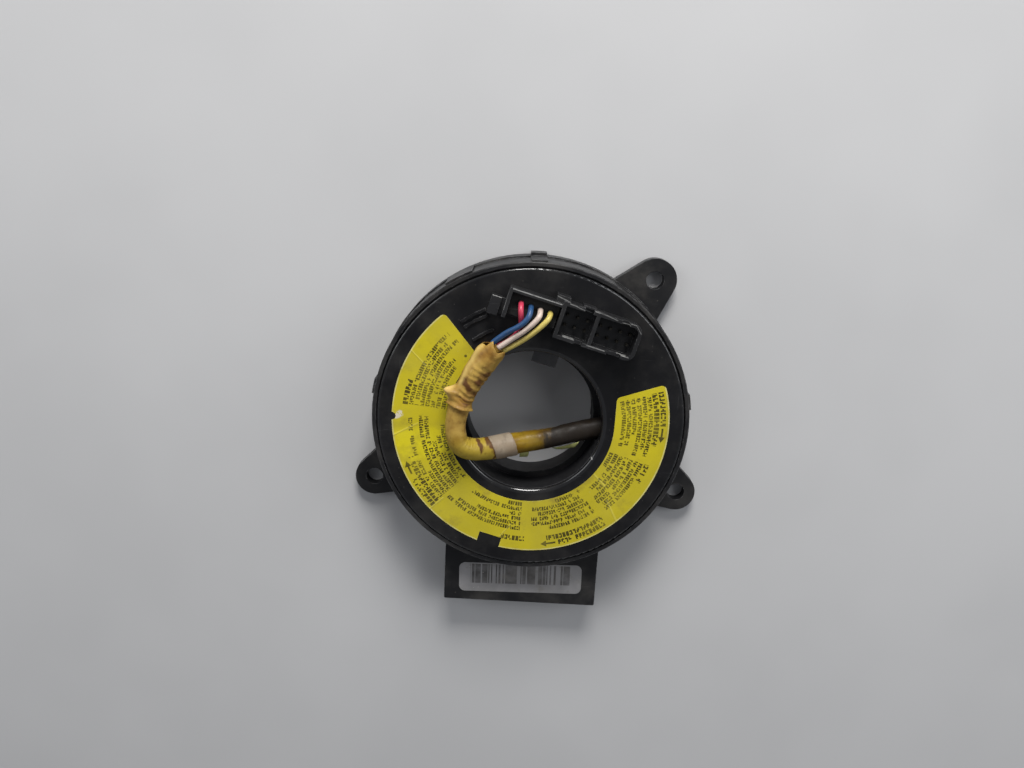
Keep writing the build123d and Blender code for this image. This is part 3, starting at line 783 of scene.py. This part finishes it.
def moulded_plastic(
    name,
    colour,
    roughness,
    edge_lightening=0.6,
    dusty=0.2,
    scratched=0.4,
    rounding=0.25 * mm,
    polished=(),
    marks=(),
    upper_from=0.0,
    shine=0.3,
):
    """Moulded plastic with grain, dust, scratches, and sharp edges painted lighter for rubbing and
    as painted highlight.

    Polished are rings, from one radius to another in millimetres, that turning has made shiny.
    They and the marks lie above the height upper_from only.
    """
    made, tree, surface = new_material(name)
    place = object_place(tree)
    edges = {"Place": place, "Reach": edge_reach, "Amount": edge_lightening}
    rubbed_and_lit = use_group(tree, edge_wear_and_highlight, edges)["Mask"]
    dirt = {"Place": place, "Amount": dusty, "Specks": dusty * 2}
    settled = use_group(tree, dust, dirt)["Mask"]
    scratches = use_group(tree, scuffs, {"Place": place, "Amount": scratched})["Mask"]
    tone = patchy(tree, place, 45.0, 4.0, 0.3, 0.7)
    body = blend_colour(tree, tone, colour, [min(1.0, c * 1.5) for c in colour])
    body = blend_colour(tree, times(tree, scratches, 0.35), body, scratch_grey)
    # worn rubbing and painted highlight: sharp edges lightened towards grey
    body = blend_colour(tree, times(tree, rubbed_and_lit, 0.8), body, worn_lit_edge_grey)
    body = blend_colour(tree, settled, body, dust_brown)
    # pale marks: on the housing, painted highlights along its top edges
    if marks:
        body = blend_colour(tree, pale_marks(tree, place, marks, upper_from), body, mark_grey)
    patches = noise_at(tree, place, 75.0, 4.0)
    rough = map_range(tree, patches, 0.25, 0.75, roughness - 0.07, roughness + 0.1)
    rough = plus(tree, rough, times(tree, settled, 0.35))
    rough = plus(tree, rough, times(tree, scratches, 0.15), clamp=True)
    if polished:
        reach = vector_maths(tree, "LENGTH", rotor_place(tree, place))["Value"]
        rings = []
        for inner, outer in polished:
            ring = above(tree, reach, inner)
            rings.append(times(tree, ring, below(tree, reach, outer)))
        high = above(tree, axes_of(tree, place)["Z"], upper_from)
        shiny = times(tree, brightest(tree, rings), high)
        rough = maths(tree, "SUBTRACT", rough, times(tree, shiny, 0.24))
        feed(tree, surface, Coat_Weight=shiny, Coat_Roughness=0.12)
    grain = use_group(tree, moulded_grain, {"Place": place})["Height"]
    soft_edge = add_node(tree, "Bevel", {"Radius": rounding}, samples=4).outputs["Normal"]
    normal = bumped(tree, grain, 0.18, 0.02 * mm, Normal=soft_edge)
    feed(tree, surface, Base_Color=body, Roughness=rough, Normal=normal)
    feed(tree, surface, Specular_IOR_Level=shine)
    return made


def pin_metal():
    """Tinned terminals, coloured near-black as painted shade in their sockets, with patchy tarnish.
    """
    made, tree, surface = new_material("tinned_pins")
    place = object_place(tree)
    tarnish = patchy(tree, place, 900.0, 3.0, 0.35, 0.7)
    # painted shade: both tones are near-black, so the pins sit dark in their sockets
    colour = blend_colour(tree, tarnish, (0.050, 0.046, 0.040), (0.016, 0.014, 0.012))
    rough = patchy(tree, place, 1500.0, 2.0, 0.3, 0.7, 0.4, 0.6)
    feed(tree, surface, Base_Color=colour, Roughness=rough, Metallic=1.0)
    return made


def laminated_film(name, colour, roughness):
    """Thin translucent-looking film with a faintly patchy tone."""
    made, tree, surface = new_material(name)
    place = object_place(tree)
    tone = patchy(tree, place, 160.0, 3.0, 0.3, 0.7)
    body = blend_colour(tree, tone, colour, [c * 0.8 for c in colour])
    patches = noise_at(tree, place, 300.0, 2.0)
    rough = map_range(tree, patches, 0.3, 0.7, roughness - 0.05, roughness + 0.08)
    feed(tree, surface, Base_Color=body, Roughness=rough)
    return made


def wound_tape(
    name, colour, deeper, stain_and_shade_colour, roughness, far_colour=None, far_run=(29, 38), painted_light_spots=()
):
    """Aged glossy tape: uneven tint, fine creases, grime, and dirt marks and painted shade from an
    attribute.

    The far colour is what it turns to along far_run, in millimetres along the harness: a change of
    tint on the yellow tape, painted shade on the amber tape deep in the bore.
    The painted light spots are places, in the wrap attribute, painted paler as light: both ends,
    width and colour.
    """
    made, tree, surface = new_material(name)
    wrap = add_node(tree, "Attribute", attribute_name="wrap").outputs["Vector"]
    stain_and_shade = add_node(tree, "Attribute", attribute_name="stain_and_shade").outputs["Fac"]
    tint = patchy(tree, wrap, 170.0, 4.0, 0.32, 0.68)
    body = blend_colour(tree, tint, colour, deeper)
    # the far colour: a change of tint on the yellow tape, painted shade on the amber tape deep in
    # the bore
    if far_colour:
        far = map_range(tree, axes_of(tree, wrap)["Z"], far_run[0] * mm, far_run[1] * mm)
        body = blend_colour(tree, times(tree, far, 0.85), body, far_colour)
    # grime breaks up along creases that run across the tape
    values = {"Vector": wrap, "Scale": (0.35, 0.35, 1.6)}
    squeezed = add_node(tree, "Mapping", values).outputs[0]
    streaks = noise_at(tree, squeezed, 900.0, 4.0, 0.6)
    blotches = noise_at(tree, wrap, 420.0, 4.0, 0.6)
    broken = plus(tree, times(tree, streaks, 0.6), times(tree, blotches, 0.6))
    # grime here also takes in the painted shade held in the vertex attribute
    soiling_and_shade = plus(tree, times(tree, stain_and_shade, 0.80), broken)
    grime = map_range(tree, soiling_and_shade, 0.74, 1.34)
    fine_dirt = map_range(tree, blotches, 0.54, 0.72, 0.0, 0.42)
    body = blend_colour(tree, fine_dirt, body, [c * 0.45 for c in deeper])
    pale = map_range(tree, streaks, 0.60, 0.76, 0.0, 0.40)
    body = blend_colour(tree, pale, body, [min(0.8, c * 1.5 + 0.02) for c in colour])
    # dirt and grime, with painted shade, darken the tape
    body = blend_colour(tree, times(tree, grime, 0.92), body, stain_and_shade_colour)
    # painted light: paler spots where given
    for first, last, width, tone in painted_light_spots:
        values = {"Place": wrap, "From": first, "To": last, "Width": width}
        spot = use_group(tree, near_line, values)["Mask"]
        body = blend_colour(tree, times(tree, spot, 0.8), body, tone)
    patches = noise_at(tree, wrap, 260.0, 3.0)
    rough = map_range(tree, patches, 0.3, 0.7, roughness - 0.08, roughness + 0.12)
    rough = plus(tree, rough, times(tree, grime, 0.2), clamp=True)
    creases = noise_at(tree, squeezed, 1500.0, 3.0, 0.6)
    height = plus(tree, times(tree, creases, 0.6), times(tree, blotches, 0.5))
    normal = bumped(tree, height, 0.55, 0.12 * mm)
    feed(tree, surface, Base_Color=body, Roughness=rough, Normal=normal, Specular_IOR_Level=0.2)
    return made


def wire_insulation(name, colour):
    """Extruded PVC with a thin film of dirt and a few rubbed marks."""
    made, tree, surface = new_material(name)
    wrap = add_node(tree, "Attribute", attribute_name="wrap").outputs["Vector"]
    dirt = map_range(tree, noise_at(tree, wrap, 330.0, 4.0, 0.6), 0.5, 0.75, 0.0, 0.55)
    body = blend_colour(tree, dirt, colour, [c * 0.35 + 0.012 for c in colour])
    marks = patchy(tree, wrap, 900.0, 2.0, 0.64, 0.72, 0.0, 0.4)
    body = blend_colour(tree, marks, body, (0.20, 0.15, 0.12))
    rough = patchy(tree, wrap, 500.0, 2.0, 0.3, 0.7, 0.30, 0.48)
    normal = bumped(tree, noise_at(tree, wrap, 1100.0, 2.0), 0.15, 0.05 * mm)
    feed(tree, surface, Base_Color=body, Roughness=rough, Normal=normal)
    return made


# ---- yellow sheet
# blocks of small print, in degrees clockwise from the rotor's +Y: start, then each row's end
small_print = [
    (58.3, (89, 87.5, 90.5, 79, 86, 87, 58)),
    (92.7, (122, 121, 123, 123, 118, 121, 103.5)),
    (127, (127, 152, 161, 161, 157, 161.5, 145)),
    (167, (167, 208.5, 204, 193, 174, 200.5, 176.5)),
    (210.7, (254, 225, 256, 255, 240, 243, 250)),
    (260.6, (300, 296, 301, 289, 292.5, 289, 277)),
]
# blocks of larger print above them: start, and the ends of the two rows
large_print = [
    (58, (73.5, 83)),
    (92.5, (92.5, 102)),
    (126, (149, 154)),
    (164.5, (164.5, 176)),
    (210, (224.5, 235)),
    (260, (260, 272)),
]
arrows = [(74.5, 81), (150.2, 157), (227.2, 233.5)]
small_rows, large_rows = 7, 2
small_sizes = {"Top": 39.45, "Pitch": 1.73, "Fill": 0.78, "Gaps": 0.10}
large_sizes = {"Top": 43.65, "Pitch": 2.1, "Fill": 0.82, "Width": 1.25, "Gaps": 0.05}
dot_place, dot_radius = (298.5, 30.0), 0.45
cut_edge = 0.42             # pale edge where the film is cut
sheet_outer = 44.8
torn_nick = ((254.8, 43.6), (255.6, 42.2), 1.9)
# creases and scratches across the sheet: angle and radius of both ends, and width in millimetres
sheet_creases = [
    ((118.5, 37.0), (122.0, 45.2), 0.55),
    ((209.5, 39.0), (209.8, 45.2), 0.45),
    ((112.0, 26.9), (113.5, 33.0), 0.5),
    ((176.0, 41.0), (172.0, 36.0), 0.4),
    ((246.0, 45.0), (251.0, 36.5), 0.5),
    ((284.0, 44.9), (281.0, 38.0), 0.4),
]


def on_sheet(angle, radius):
    """A place on the sheet, in millimetres in the rotor's frame."""
    return (radius * sin(radians(angle)), radius * cos(radians(angle)), 0.0)


def row_window(tree, angle, row, rows, start, ends):
    """1 where a block's row runs, from the start to that row's own end."""
    ramp = add_node(tree, "ValToRGB")
    fill(tree, ramp.inputs[0], maths(tree, "DIVIDE", plus(tree, row, 0.5), float(rows)))
    stops = ramp.color_ramp
    stops.interpolation = "CONSTANT"
    widest = max(ends) - start
    for index, end in enumerate(ends):
        stop = stops.elements[0] if index == 0 else stops.elements.new(index / rows)
        share = (end - start) / widest
        stop.color = (share, share, share, 1)
    stops.elements.remove(stops.elements[-1])
    last = plus(tree, start, times(tree, ramp.outputs[0], widest))
    begun = above(tree, angle, start)
    return times(tree, begun, below(tree, angle, last))


def row_text(tree, polar, rows, blocks, sizes):
    """Ink of several blocks of print that share their rows."""
    text = use_group(tree, print_rows, {**polar, **sizes})
    windows = []
    for start, ends in blocks:
        windows.append(row_window(tree, polar["Angle"], text["Row"], rows, start, ends))
    in_rows = times(tree, above(tree, text["Row"], -0.5), below(tree, text["Row"], rows - 0.5))
    shown = times(tree, brightest(tree, windows), in_rows)
    return times(tree, text["Ink"], shown)


def sheet_line(tree, turned, first, last, width):
    """1 along a mark between two places that are given as angle and radius."""
    values = {"Place": turned, "From": on_sheet(*first), "To": on_sheet(*last), "Width": width}
    return use_group(tree, near_line, values)["Mask"]


def printed_sheet():
    """Yellow laminated paper: arcs of fine print, arrows, a white cut edge, dirt and creases."""
    made, tree, surface = new_material("yellow_printed_film")
    place = object_place(tree)
    turned = rotor_place(tree, place)
    axes = axes_of(tree, turned)
    radius = vector_maths(tree, "LENGTH", turned)["Value"]
    clockwise = maths(tree, "DEGREES", maths(tree, "ARCTAN2", axes["X"], axes["Y"]))
    angle = maths(tree, "FLOORED_MODULO", clockwise, 360.0)

    polar = {"Angle": angle, "Radius": radius}
    dot = vector_maths(tree, "DISTANCE", turned, on_sheet(*dot_place))["Value"]
    inks = [
        below(tree, dot, dot_radius),
        row_text(tree, polar, small_rows, small_print, small_sizes),
        row_text(tree, polar, large_rows, large_print, large_sizes),
    ]
    for start, tip in arrows:
        inks.append(use_group(tree, arc_arrow, {**polar, "Start": start, "Tip": tip})["Ink"])

    # print fades in patches, and the yellow is uneven
    faded = patchy(tree, place, 120.0, 4.0, 0.3, 0.75, 1.0, 0.72)
    ink = times(tree, brightest(tree, inks), faded)
    tint = map_range(tree, noise_at(tree, place, 38.0, 4.0, 0.6), 0.33, 0.68)
    body = blend_colour(tree, tint, (0.48, 0.40, 0.010), (0.39, 0.325, 0.014))
    # painted highlight: a paler yellow patch from 231 to 251 degrees
    begun = map_range(tree, angle, 231.0, 234.0)
    lit = times(tree, begun, map_range(tree, angle, 251.0, 246.0))
    lit = times(tree, lit, patchy(tree, place, 150.0, 3.0, 0.3, 0.55))
    body = blend_colour(tree, times(tree, lit, 0.7), body, (0.64, 0.55, 0.006))
    body = blend_colour(tree, ink, body, (0.045, 0.036, 0.004))

    # worn rubbing and painted highlight lighten sharp edges, joined to the pale cut rim
    edges = {"Place": place, "Reach": 0.35 * mm, "Amount": 1.0}
    rubbed_and_lit = use_group(tree, edge_wear_and_highlight, edges)["Mask"]
    rim = above(tree, radius, sheet_outer - cut_edge)
    patches = noise_at(tree, place, 240.0, 3.0)
    rim = times(tree, rim, map_range(tree, patches, 0.3, 0.55, 0.25, 0.8))
    cut = maths(tree, "MAXIMUM", times(tree, rubbed_and_lit, 0.7), rim)
    body = blend_colour(tree, cut, body, (0.52, 0.48, 0.20))
    frayed = map_range(tree, noise_at(tree, place, 700.0, 3.0, 0.6), 0.36, 0.52)
    frayed = times(tree, frayed, sheet_line(tree, turned, *torn_nick))
    frayed = map_range(tree, frayed, 0.15, 0.5)
    body = blend_colour(tree, frayed, body, (0.55, 0.50, 0.38))
    grime = noise_at(tree, place, 95.0, 5.0, 0.65)
    grime = plus(tree, grime, times(tree, map_range(tree, radius, 32.0, 26.5), 0.10))
    dirty = map_range(tree, grime, 0.54, 0.78, 0.0, 0.5)
    body = blend_colour(tree, dirty, body, (0.16, 0.115, 0.02))
    settled = use_group(tree, dust, {"Place": place, "Amount": 0.05, "Specks": 0.25})["Mask"]
    body = blend_colour(tree, settled, body, (0.42, 0.38, 0.22))
    crease = brightest(tree, [sheet_line(tree, turned, *line) for line in sheet_creases])
    body = blend_colour(tree, times(tree, crease, 0.22), body, (0.60, 0.54, 0.16))

    rough = patchy(tree, place, 70.0, 4.0, 0.3, 0.7, 0.34, 0.52)
    rough = plus(tree, rough, times(tree, dirty, 0.3), clamp=True)
    waves = noise_at(tree, place, 42.0, 2.0)
    paper = noise_at(tree, place, 1900.0, 2.0)
    height = plus(tree, times(tree, waves, 4.0), times(tree, paper, 0.15))
    height = plus(tree, height, times(tree, crease, 1.2))
    normal = bumped(tree, height, 0.5, 0.12 * mm)
    feed(tree, surface, Base_Color=body, Roughness=rough, Normal=normal, Specular_IOR_Level=0.4)
    return made


# ---- barcode label
label_tilt = 1.4            # degrees anticlockwise
label_middle = (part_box("barcode_label")[0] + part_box("barcode_label")[1]) / 2
bar_module = 0.24           # millimetres: the narrowest bar
bar_field = (-17.6, 17.4, -2.3, 5.0)  # left, right, bottom and top of the bars


def bar_label():
    """Paper label with a field of plain bars, dirty and worn; its white paper is coloured grey as
    painted shade.
    """
    made, tree, surface = new_material("barcode_paper")
    place = object_place(tree)
    centred = vector_maths(tree, "SUBTRACT", place, tuple(label_middle))[0]
    axes = axes_of(tree, turned_millimetres(tree, centred, -label_tilt))
    module = maths(tree, "FLOOR", maths(tree, "DIVIDE", axes["X"], bar_module))
    # bars are one to three modules wide: a module joins its neighbour where both draws agree
    drawn = []
    for shift in (0.0, 1.0):
        halves = maths(tree, "DIVIDE", plus(tree, module, shift), 2.0)
        seed = plus(tree, maths(tree, "FLOOR", halves), 40.0 * shift)
        drawn.append(drawn_value(tree, {"W": seed}, "1D"))
    bars = above(tree, plus(tree, *drawn), 0.70)
    left, right, bottom, top = bar_field
    for axis, low, high in (("X", left, right), ("Y", bottom, top)):
        bars = times(tree, bars, above(tree, axes[axis], low))
        bars = times(tree, bars, below(tree, axes[axis], high))
    worn = patchy(tree, place, 260.0, 4.0, 0.35, 0.72, 0.85, 0.5)
    tint = patchy(tree, place, 80.0, 4.0, 0.35, 0.65)
    # painted shade: the paper's two tones are mid-grey
    body = blend_colour(tree, tint, (0.24, 0.235, 0.238), (0.18, 0.176, 0.178))
    body = blend_colour(tree, times(tree, bars, worn), body, (0.030, 0.026, 0.024))
    dirt = map_range(tree, noise_at(tree, place, 240.0, 5.0, 0.65), 0.55, 0.75, 0.0, 0.5)
    body = blend_colour(tree, dirt, body, (0.10, 0.09, 0.075))
    settled = use_group(tree, dust, {"Place": place, "Amount": 0.15, "Specks": 0.5})["Mask"]
    body = blend_colour(tree, settled, body, (0.40, 0.38, 0.34))
    rough = patchy(tree, place, 180.0, 3.0, 0.3, 0.7, 0.42, 0.6)
    waves = noise_at(tree, place, 90.0, 2.0)
    normal = bumped(tree, waves, 0.4, 0.2 * mm)
    feed(tree, surface, Base_Color=body, Roughness=rough, Normal=normal, Specular_IOR_Level=0.4)
    return made


# ---- finishes in place


def give(material, *names):
    """Puts a finish in the slots of CAD nodes."""
    for name in names:
        slots = nodes[name].data.materials
        slots.clear()
        slots.append(material)


satin_black = moulded_plastic(
    "satin_black_plastic", (0.0065, 0.0065, 0.0072), 0.40, edge_lightening=0.55, dusty=0.10
)
disc_black = moulded_plastic(
    "disc_black_plastic",
    (0.0050, 0.0050, 0.0057),
    0.38,
    edge_lightening=0.3,
    dusty=0.05,
    rounding=0.4 * mm,
    polished=[(0.0, 24.6), (48.8, 60.0)],
    marks=[((22.8, -5.2), (23.1, -5.7), 0.3, 1.0)],
    upper_from=20.4 * mm,
    shine=0.2,
)
# painted highlights along the housing's front edges, partly worn rubbing: both ends, width in
# millimetres and strength
housing_highlight_marks = [
    ((-18.9, 40.2), (-3.4, 40.2), 0.22, 0.95),
    ((-20.0, 39.4), (-19.8, 33.2), 0.2, 0.3),
    ((-5.3, 42.2), (-1.1, 41.6), 0.25, 0.5),
    ((-1.0, 41.2), (1.3, 41.1), 0.22, 0.6),
    ((1.3, 41.0), (6.2, 40.4), 0.22, 0.5),
    ((7.0, 41.4), (11.1, 41.3), 0.22, 0.5),
    ((11.1, 41.3), (14.3, 40.9), 0.22, 0.4),
    ((16.0, 40.4), (18.5, 40.6), 0.22, 0.6),
    ((18.5, 41.2), (20.3, 41.2), 0.22, 0.55),
    ((20.6, 41.0), (22.5, 39.2), 0.2, 0.35),
    ((0.0, 31.0), (3.4, 31.0), 0.22, 0.5),
    ((5.2, 32.9), (7.0, 32.9), 0.2, 0.4),
    ((7.8, 30.7), (13.6, 30.7), 0.25, 0.6),
    ((17.7, 31.0), (21.3, 31.0), 0.22, 0.6),
    ((-24.2, 36.2), (-21.4, 36.2), 0.25, 0.7),
]
connector_black = moulded_plastic(
    "connector_black_plastic",
    (0.0090, 0.0090, 0.0098),
    0.38,
    edge_lightening=0.28,
    dusty=0.03,
    rounding=0.3 * mm,
    marks=housing_highlight_marks,
    upper_from=26 * mm,
)
plug_black = moulded_plastic(
    "plug_black_plastic", (0.006, 0.006, 0.006), 0.55, edge_lightening=0.2, dusty=0.05
)
natural = moulded_plastic("natural_nylon", (0.55, 0.50, 0.38), 0.45, edge_lightening=0.1, dusty=0.1)
give(satin_black, "stator_base", "stator_case")
give(disc_black, "rotor_disc", "rotor_sleeve")
give(connector_black, "front_connector_housing")
give(plug_black, "wire_plug")
give(natural, "inner_lead_block", "outer_lead_block", "stator_terminal_block")
give(pin_metal(), "front_terminal_pins", "stator_terminal_pins")
give(laminated_film("slip_film", (0.70, 0.68, 0.60), 0.35), "upper_slip_sheet", "lower_slip_sheet")
give(laminated_film("flat_cable_film", (0.55, 0.28, 0.08), 0.3), "flat_cable")
give(bar_label(), "barcode_label")
give(printed_sheet(), "yellow_sheet")

wind_harness(
    wound_tape(
        "yellow_tape",
        (0.385, 0.250, 0.058),
        (0.215, 0.108, 0.020),
        (0.070, 0.023, 0.008),
        0.36,
        far_colour=(0.315, 0.232, 0.026),
        painted_light_spots=[
            # painted light: paler where light shows through the thin ear
            (wrapped(8, 18.2), wrapped(8, 20.2), 2.4 * mm, (0.66, 0.47, 0.17)),
            # painted highlight along the tape's outer side
            (wrapped(20, 3.0), wrapped(35, 15.0), 2.0 * mm, (0.58, 0.42, 0.14)),
        ],
    ),
    wound_tape("white_tape", (0.24, 0.198, 0.145), (0.20, 0.150, 0.102), (0.09, 0.045, 0.022), 0.5),
    wound_tape(
        "amber_tape",
        (0.235, 0.150, 0.008),
        (0.135, 0.070, 0.005),
        # painted shade: near-black for the shade deep in the bore
        (0.007, 0.0052, 0.0045),
        0.36,
        # painted shade: the amber tape darkens towards its end deep in the bore
        far_colour=(0.022, 0.013, 0.005),
        far_run=(55, 69),
    ),
    # painted light: the amber tape's tails get a paler, greener colour, as if lit
    wound_tape("tape_tail_painted_lit", (0.30, 0.31, 0.12), (0.16, 0.16, 0.05), (0.03, 0.03, 0.01), 0.3),
)
draw_wires(
    {
        "wire_pink": wire_insulation("pink_insulation", (0.46, 0.035, 0.075)),
        "wire_blue": wire_insulation("blue_insulation", (0.016, 0.060, 0.155)),
        "wire_white": wire_insulation("white_insulation", (0.52, 0.42, 0.36)),
        "wire_yellow": wire_insulation("yellow_insulation", (0.50, 0.40, 0.10)),
    }
)

# ---- studio
floor_reach = 2.0
surround_strength = 0.22
# name, place, width, power in watts and colour
lights = [
    ("key", (0.02, 0.74, 0.42), 0.32, 9.4, (1.0, 0.985, 0.96)),
    ("left_fill", (-0.66, 0.32, 0.50), 0.5, 1.8, (0.96, 0.98, 1.0)),
    ("right_fill", (0.62, 0.25, 0.55), 0.5, 2.4, (0.96, 0.98, 1.0)),
]
camera_place = (-7.14 * mm, 77.03 * mm, 278.8 * mm)
camera_turns = [(3.0, "Z"), (0.63, "Y"), (-14.12, "X")]
lens_length, sensor_width = 29.18, 36.0


def floor_finish():
    """Plain pale floor with the faintest mottle."""
    made, tree, surface = new_material("pale_floor")
    place = object_place(tree)
    mottle = patchy(tree, place, 9.0, 3.0, 0.3, 0.7)
    colour = blend_colour(tree, mottle, (0.42, 0.42, 0.425), (0.45, 0.45, 0.455))
    feed(tree, surface, Base_Color=colour, Roughness=0.75)
    return made


def lay_floor():
    """A wide floor under the part."""
    shape = bmesh.new()
    bmesh.ops.create_grid(shape, x_segments=4, y_segments=4, size=floor_reach)
    mesh = bpy.data.meshes.new("studio_floor")
    shape.to_mesh(mesh)
    shape.free()
    mesh.materials.append(floor_finish())
    floor = bpy.data.objects.new("studio_floor", mesh)
    bpy.context.scene.collection.objects.link(floor)


def hang_light(name, place, size, power, colour):
    """A soft square light that points at the part."""
    lamp = bpy.data.lights.new(name, "AREA")
    lamp.energy = power
    lamp.size = size
    lamp.color = colour
    holder = bpy.data.objects.new(name, lamp)
    holder.location = place
    holder.rotation_euler = (-Vector(place)).to_track_quat("-Z", "Y").to_euler()
    bpy.context.scene.collection.objects.link(holder)


def light_studio():
    """One low soft key from beyond the upper edge, a weak fill each side, an even surround."""
    for light in lights:
        hang_light(*light)
    world = bpy.data.worlds.new("surround")
    world.use_nodes = True
    background = world.node_tree.nodes["Background"]
    background.inputs["Color"].default_value = (0.9, 0.93, 1.0, 1)
    background.inputs["Strength"].default_value = surround_strength
    bpy.context.scene.world = world


def place_camera():
    """Looks down on the part from above its upper edge, rolled a little."""
    lens = bpy.data.cameras.new("camera")
    lens.lens = lens_length
    lens.sensor_width = sensor_width
    holder = bpy.data.objects.new("camera", lens)
    stand = Matrix.Translation(camera_place)
    for turn, axis in camera_turns:
        stand = stand @ Matrix.Rotation(radians(turn), 4, axis)
    holder.matrix_world = stand
    bpy.context.scene.collection.objects.link(holder)
    bpy.context.scene.camera = holder


lay_floor()
light_studio()
place_camera()
bpy.context.scene.view_settings.view_transform = "Standard"
